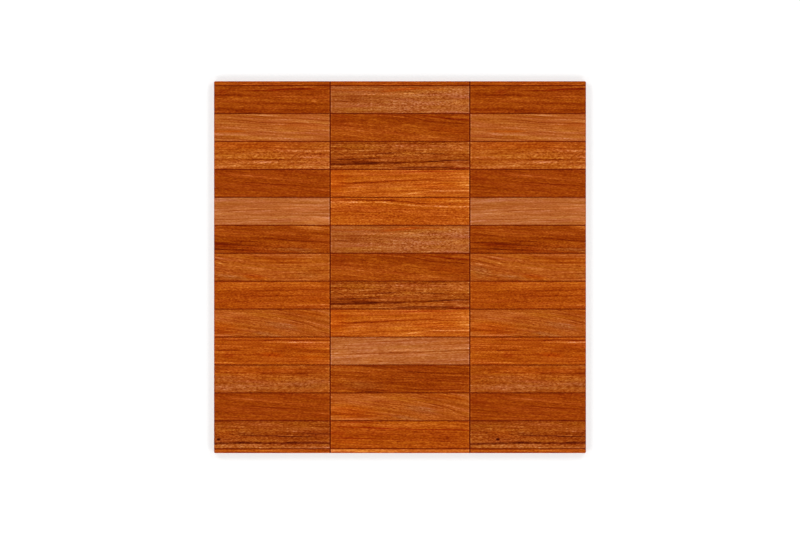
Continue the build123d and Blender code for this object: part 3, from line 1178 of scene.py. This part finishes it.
@dataclass
class TileBody:
    """The fired tile as one closed mesh: face with its joints, rounded edge, drafted flank and keyed back."""

    face: TileFace
    thickness: float
    corner_radius: float = 1.5
    arris_radius: float = 0.8
    arris_steps: int = 5
    band_height: float = 3.0
    flank_draft: float = math.radians(3.0)
    heel_chamfer: float = 0.7
    joint_depth: float = 0.45
    joint_draft: float = math.radians(25.0)
    joint_shoulder: float = 0.15
    joint_steps: int = 5
    key_pitch: float = 30.0
    key_rib: float = 4.5
    key_corner: float = 4.5
    key_depth: float = 0.8
    key_draft: float = math.radians(35.0)
    key_border: float = 10.0
    key_steps: int = 5
    corner_steps: int = 4
    step_along: float = 12.0
    step_across: float = 4.3
    sharp_angle: float = math.radians(32.0)
    end_joint_glaze: tuple[Colour, Colour] = ((0.105, 0.005, 0.0005), (0.165, 0.009, 0.0005))
    long_joint_glaze: tuple[Colour, Colour] = ((0.145, 0.007, 0.0005), (0.235, 0.019, 0.0005))
    finishes: dict[str, bpy.types.Material] = field(default_factory=dict)

    def __post_init__(self) -> None:
        """Starts the mesh, its map of the prints and its sheet for the bake."""
        self.sheet = BakeSheet(self.face.side, self.thickness)
        self.work = bmesh.new()
        self.print_map = self.work.loops.layers.uv.new(PRINT_MAP)
        self.bake_map = self.work.loops.layers.uv.new("OFBake")

    def build(self) -> bpy.types.Object:
        """Makes the tile's mesh and dresses it.

        Returns:
            The tile's object, in metres.
        """
        self.dress()
        self.add_back(self.add_flank(self.add_face()))
        bmesh.ops.recalc_face_normals(self.work, faces=self.work.faces)
        bmesh.ops.scale(self.work, vec=(MM, MM, MM), verts=self.work.verts)
        mesh = bpy.data.meshes.new("glazed_tile")
        for finish in self.finishes.values():
            mesh.materials.append(finish)
        for piece in self.work.faces:
            piece.smooth = True
        self.work.to_mesh(mesh)
        self.work.free()
        mesh.set_sharp_from_angle(angle=self.sharp_angle)
        tile = bpy.data.objects.new("glazed_tile", mesh)
        bpy.context.scene.collection.objects.link(tile)
        return tile

    def dress(self) -> None:
        """Makes the finish of every strip, of the joints and of the bare body."""
        effects = PrintEffects()
        for board in Board:
            glaze = PrintedGlaze(board, self.face.strip_length, self.face.strip_width, self.face.half)
            self.finishes[board.name] = glaze.material(effects)
        self.finishes["end_joint"] = JointGlaze("end_joint_glaze", *self.end_joint_glaze).material()
        self.finishes["long_joint"] = JointGlaze("long_joint_glaze", *self.long_joint_glaze).material()
        self.finishes["body"] = FiredBody(self.thickness).material()

    def joint_reach(self, width: float) -> Pair:
        """Half widths of a joint at its root and at the outer side of its shoulders."""
        return width / 2 - self.joint_depth * math.tan(self.joint_draft), width / 2 + self.joint_shoulder

    def stations(self, joints: list[float], width: float, step: float) -> list[float]:
        """Grid lines of the face along one axis.

        Args:
            joints: Centre lines of the joints that cross this axis.
            width: The joints' width at the face.
            step: Greatest distance between two lines.

        Returns:
            The lines in rising order, close together at the joints and at the tile's edges.
        """
        half = self.face.half
        root, outer = self.joint_reach(width)
        reaches = [0.0] + [root + (outer - root) * k / self.joint_steps for k in range(self.joint_steps + 1)]
        marks = {joint + side * reach for joint in joints for side in (-1, 1) for reach in reaches}
        for k in range(self.arris_steps + 1):
            inset = self.arris_radius * (1 - math.sin(k * math.pi / 2 / self.arris_steps))
            marks |= {half - inset, inset - half}
        marks |= {half - self.corner_radius, self.corner_radius - half}
        lines = sorted(marks)
        filled = [lines[0]]
        for line in lines[1:]:
            start = filled[-1]
            pieces = max(1, math.ceil((line - start) / step))
            filled += [start + (line - start) * k / pieces for k in range(1, pieces + 1)]
        return filled

    def joint_drop(self, place: float, joints: list[float], width: float) -> float:
        """How deep the joints across one axis lie below the face here.

        Args:
            place: Place along the axis.
            joints: Centre lines of the joints.
            width: Their width at the face.

        Returns:
            A share of the joints' full depth.
        """
        root, outer = self.joint_reach(width)
        distance = min(abs(place - joint) for joint in joints)
        share = min(max((outer - distance) / (outer - root), 0.0), 1.0)
        return share * share * (3 - 2 * share)  # smooth at both ends

    def face_point(self, x: float, y: float) -> Vector:
        """Where a point of the square grid lies on the face, with round corners and edges.

        Args:
            x: Place on the grid along the strips.
            y: Place across them.

        Returns:
            The point.
        """
        inner = self.face.half - self.corner_radius
        past_x = (abs(x) - inner) / self.corner_radius
        past_y = (abs(y) - inner) / self.corner_radius
        inset = self.face.half - max(abs(x), abs(y))
        px, py = x, y
        if past_x > 0 and past_y > 0:
            turn = math.pi / 4 * (past_y / past_x if past_x >= past_y else 2 - past_x / past_y)
            reach = self.corner_radius * max(past_x, past_y)
            px = math.copysign(inner + reach * math.cos(turn), x)
            py = math.copysign(inner + reach * math.sin(turn), y)
        across = self.joint_drop(x, self.face.end_joints, self.face.end_joint_width)
        beside = self.joint_drop(y, self.face.long_joints, self.face.long_joint_width)
        joint = self.joint_depth * (1 - (1 - across) * (1 - beside))
        over = max(self.arris_radius - inset, 0.0)
        arris = self.arris_radius - math.sqrt(self.arris_radius**2 - over**2)
        return Vector((px, py, self.thickness - max(joint, arris)))

    def paint(self, piece: bmesh.types.BMFace, finish: str) -> None:
        """Gives a face of the mesh its finish."""
        piece.material_index = list(self.finishes).index(finish)

    def add_face(self) -> Outline:
        """Adds the tile's face with its joints and rounded edge.

        Returns:
            The vertices of its rim, anticlockwise from above.
        """
        xs = self.stations(self.face.end_joints, self.face.end_joint_width, self.step_along)
        ys = self.stations(self.face.long_joints, self.face.long_joint_width, self.step_across)
        grid = [[self.work.verts.new(self.face_point(x, y)) for x in xs] for y in ys]
        for row, (y0, y1) in enumerate(zip(ys, ys[1:])):
            for column, (x0, x1) in enumerate(zip(xs, xs[1:])):
                low = grid[row][column : column + 2]
                high = grid[row + 1][column : column + 2]
                piece = self.work.faces.new(low + high[::-1])
                self.lay_print(piece, ((x0, y0), (x1, y0), (x1, y1), (x0, y1)))
        right = [row[-1] for row in grid[:-1]]
        left = [row[0] for row in grid[:0:-1]]
        return grid[0][:-1] + right + grid[-1][:0:-1] + left

    def lay_print(self, piece: bmesh.types.BMFace, corners: tuple[Pair, ...]) -> None:
        """Chooses a face's finish and places the print on it.

        Args:
            piece: The face.
            corners: Its corners on the square grid, in the order of its loops.
        """
        x, y = (sum(corner[axis] for corner in corners) / 4 for axis in (0, 1))
        left, top = 0.0, 0.0
        if min(abs(x - joint) for joint in self.face.end_joints) < self.face.end_joint_width / 2:
            self.paint(piece, "end_joint")
        elif min(abs(y - joint) for joint in self.face.long_joints) < self.face.long_joint_width / 2:
            self.paint(piece, "long_joint")
        else:
            board, left, top = self.face.strip_at(x, y)
            self.paint(piece, board.name)
        for loop, corner in zip(piece.loops, corners):
            loop[self.print_map].uv = (corner[0] - left, top - corner[1])
            loop[self.bake_map].uv = self.sheet.on_face(*corner)

    def add_flank(self, rim: Outline) -> Outline:
        """Adds the upright band, the drafted flank and the heel below the rim.

        Args:
            rim: The face's rim, anticlockwise from above.

        Returns:
            The vertices of the back's outline.
        """
        foot = self.thickness - self.band_height
        lean = (foot - self.heel_chamfer) * math.tan(self.flank_draft)
        levels = (
            (foot, 0.0),
            ((foot + self.heel_chamfer) / 2, lean / 2),
            (self.heel_chamfer, lean),
            (0.0, lean + self.heel_chamfer),
        )
        upper = rim
        for height, inset in levels:
            outline = [[self.drawn_in(place, inset) for place in vert.co.xy] for vert in rim]
            lower = [self.work.verts.new((*place, height)) for place in outline]
            for piece in self.add_band(upper, lower):
                self.paint(piece, "body")
                self.lay_side(piece)
            upper = lower
        return upper

    def add_band(self, upper: Outline, lower: Outline) -> list[bmesh.types.BMFace]:
        """Adds a closed band of faces from one outline to the next."""
        rungs = list(zip(upper, lower))
        return [self.work.faces.new((*rungs[k - 1], *rungs[k][::-1])) for k in range(len(rungs))]

    def drawn_in(self, place: float, inset: float) -> float:
        """Moves one coordinate of the outline inwards, with the corner radius kept.

        Args:
            place: The coordinate.
            inset: How far the tile's side moves in.

        Returns:
            The new coordinate.
        """
        straight = self.face.half - self.corner_radius
        if abs(place) > straight:
            return place - math.copysign(inset, place)
        return place * (straight - inset) / straight

    def lay_side(self, piece: bmesh.types.BMFace) -> None:
        """Places a face of the tile's side on the bake sheet.

        Args:
            piece: The face.
        """
        middle = piece.calc_center_median()
        upright = abs(middle.x) > abs(middle.y)
        number = (0 if middle.x > 0 else 1) if upright else (2 if middle.y > 0 else 3)
        for loop in piece.loops:
            along = loop.vert.co.y if upright else loop.vert.co.x
            loop[self.bake_map].uv = self.sheet.on_side(number, along, loop.vert.co.z)

    def pocket_outline(self, inset: float) -> list[Pair]:
        """Outline of a keying pocket about its centre.

        Args:
            inset: How far it is drawn in from the pocket's mouth.

        Returns:
            Its points, anticlockwise.
        """
        straight = (self.key_pitch - self.key_rib) / 2 - self.key_corner
        reach = self.key_corner - inset
        outline = []
        for quarter, (east, north) in enumerate(((1, 1), (-1, 1), (-1, -1), (1, -1))):
            for k in range(self.corner_steps + 1):
                turn = math.pi / 2 * (quarter + k / self.corner_steps)
                px = east * straight + reach * math.cos(turn)
                outline.append((px, north * straight + reach * math.sin(turn)))
        return outline

    def add_pocket(self, x: float, y: float) -> list[bmesh.types.BMEdge]:
        """Adds one keying pocket.

        Args:
            x: Place of its centre.
            y: Place of its centre.

        Returns:
            The edges of its mouth, in the plane of the back.
        """
        lean = self.key_depth * math.tan(self.key_draft)
        rings = []
        for step in range(self.key_steps + 1):
            share = step / self.key_steps
            depth = self.key_depth * (1 - math.cos(math.pi * share)) / 2
            outline = self.pocket_outline(lean * share)
            rings.append([self.work.verts.new((x + px, y + py, depth)) for px, py in outline])
        pieces = [piece for outer, inner in zip(rings, rings[1:]) for piece in self.add_band(inner, outer)]
        for piece in pieces + [self.work.faces.new(rings[-1])]:
            self.lay_back(piece)
        return self.outline_edges(rings[0])

    def outline_edges(self, verts: Outline) -> list[bmesh.types.BMEdge]:
        """The edges of a closed outline."""
        return [self.work.edges.get((verts[k - 1], verts[k])) for k in range(len(verts))]

    def lay_back(self, piece: bmesh.types.BMFace) -> None:
        """Dresses a face of the back and places it on the bake sheet.

        Args:
            piece: The face.
        """
        self.paint(piece, "body")
        for loop in piece.loops:
            loop[self.bake_map].uv = self.sheet.on_back(loop.vert.co.x, loop.vert.co.y)

    def add_back(self, heel: Outline) -> None:
        """Adds the keyed back.

        Args:
            heel: The vertices of its outline.
        """
        edges = self.outline_edges(heel)
        count = math.floor((self.face.side - 2 * self.key_border + self.key_rib) / self.key_pitch)
        centres = [(k - (count - 1) / 2) * self.key_pitch for k in range(count)]
        for y in centres:
            for x in centres:
                edges += self.add_pocket(x, y)
        filled = bmesh.ops.triangle_fill(self.work, use_beauty=True, edges=edges)
        for piece in filled["geom"]:
            if isinstance(piece, bmesh.types.BMFace):
                self.lay_back(piece)


@dataclass
class Studio:
    """Plain pale floor, soft even light and the camera that looks straight down. Lengths are in metres."""

    tile_side: float
    tile_height: float
    floor_side: float = 9.0
    floor_white: float = 0.64
    floor_roughness: float = 0.9
    floor_lift: float = 0.45
    lamp_count: int = 4
    lamp_power: float = 30.5
    lamp_side: float = 1.5
    lamp_distance: float = 2.9
    lamp_elevation: float = math.radians(36.0)
    zenith: float = 0.08
    sky_range: Pair = (0.1, 0.6)  # heights between which the sky grows dim
    camera_height: float = 2.4

    def build(self) -> None:
        """Makes the floor, the lamps, the world and the camera."""
        self.add_floor()
        for number in range(self.lamp_count):
            self.add_lamp(number)
        self.add_world()
        self.add_camera()

    def add_floor(self) -> None:
        """Adds a white floor that shows white to the camera and still keeps the tile's shadow."""
        reach = self.floor_side / 2
        mesh = bpy.data.meshes.new("floor")
        corners = [(-reach, -reach, 0.0), (reach, -reach, 0.0), (reach, reach, 0.0), (-reach, reach, 0.0)]
        mesh.from_pydata(corners, [], [(0, 1, 2, 3)])
        w = Finish("floor_white", self.floor_roughness, 0.0)
        rays = w.outputs(w.add("ShaderNodeLightPath"))
        seen = w.math("MAXIMUM", rays["Is Camera Ray"], rays["Is Glossy Ray"])
        seen = w.math("MAXIMUM", seen, rays["Is Transmission Ray"])
        white = (self.floor_white, self.floor_white, self.floor_white, 1.0)
        lift = seen * self.floor_lift
        mesh.materials.append(
            w.shade(Base_Color=white, Emission_Color=(1.0, 1.0, 1.0, 1.0), Emission_Strength=lift)
        )
        floor = bpy.data.objects.new("floor", mesh)
        bpy.context.scene.collection.objects.link(floor)

    def add_lamp(self, number: int) -> None:
        """Adds one of the broad lamps round the tile.

        Args:
            number: Which lamp, from 0.
        """
        lamp = bpy.data.lights.new(f"softbox_{number + 1}", "AREA")
        lamp.shape = "SQUARE"
        lamp.size = self.lamp_side
        lamp.energy = self.lamp_power
        turn = math.pi / 4 + number * 2 * math.pi / self.lamp_count
        flat = math.cos(self.lamp_elevation)
        away = Vector((flat * math.cos(turn), flat * math.sin(turn), math.sin(self.lamp_elevation)))
        stand = bpy.data.objects.new(lamp.name, lamp)
        stand.location = away * self.lamp_distance
        stand.rotation_euler = away.to_track_quat("Z", "Y").to_euler()
        bpy.context.scene.collection.objects.link(stand)

    def add_world(self) -> None:
        """Lights the scene from a white sky that is dim overhead, so that deep colours keep their depth."""
        world = bpy.data.worlds.new("studio_sky")
        world.use_nodes = True
        bpy.context.scene.world = world
        w = Wiring(world.node_tree)
        _, _, height = w.split(w.place("Generated"))
        shade = height.fall(*self.sky_range).scaled(1.0 - self.zenith, self.zenith)
        w.feed(world.node_tree.nodes["Background"].inputs["Color"], w.point(shade, shade, shade))

    def add_camera(self) -> None:
        """Adds the camera, straight above the tile and framed as in the photograph."""
        pixel = self.tile_side / TILE_WIDTH_PX
        camera = bpy.data.cameras.new("camera")
        camera.type = "ORTHO"
        camera.ortho_scale = FRAME_WIDTH_PX * pixel
        stand = bpy.data.objects.new("camera", camera)
        across = (FRAME_WIDTH_PX / 2 - TILE_CENTRE_PX[0]) * pixel
        up = (TILE_CENTRE_PX[1] - FRAME_HEIGHT_PX / 2) * pixel
        stand.location = (across, up, self.tile_height + self.camera_height)
        bpy.context.scene.collection.objects.link(stand)
        bpy.context.scene.camera = stand


def main() -> None:
    """Builds the tile's looks, the floor, the light and the camera."""
    logging.basicConfig(level=logging.INFO, format="%(message)s")
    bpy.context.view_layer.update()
    low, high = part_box(NODE)
    bpy.context.scene.view_settings.view_transform = "Standard"
    face = TileFace(side=(high.x - low.x) / MM)
    tile = TileBody(face, thickness=(high.z - low.z) / MM).build()
    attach(tile, "root")
    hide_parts(NODE)
    LOG.info("%s: %d faces, %d finishes", tile.name, len(tile.data.polygons), len(tile.data.materials))
    Studio(tile_side=high.x - low.x, tile_height=high.z).build()


if __name__ == "__main__":
    main()
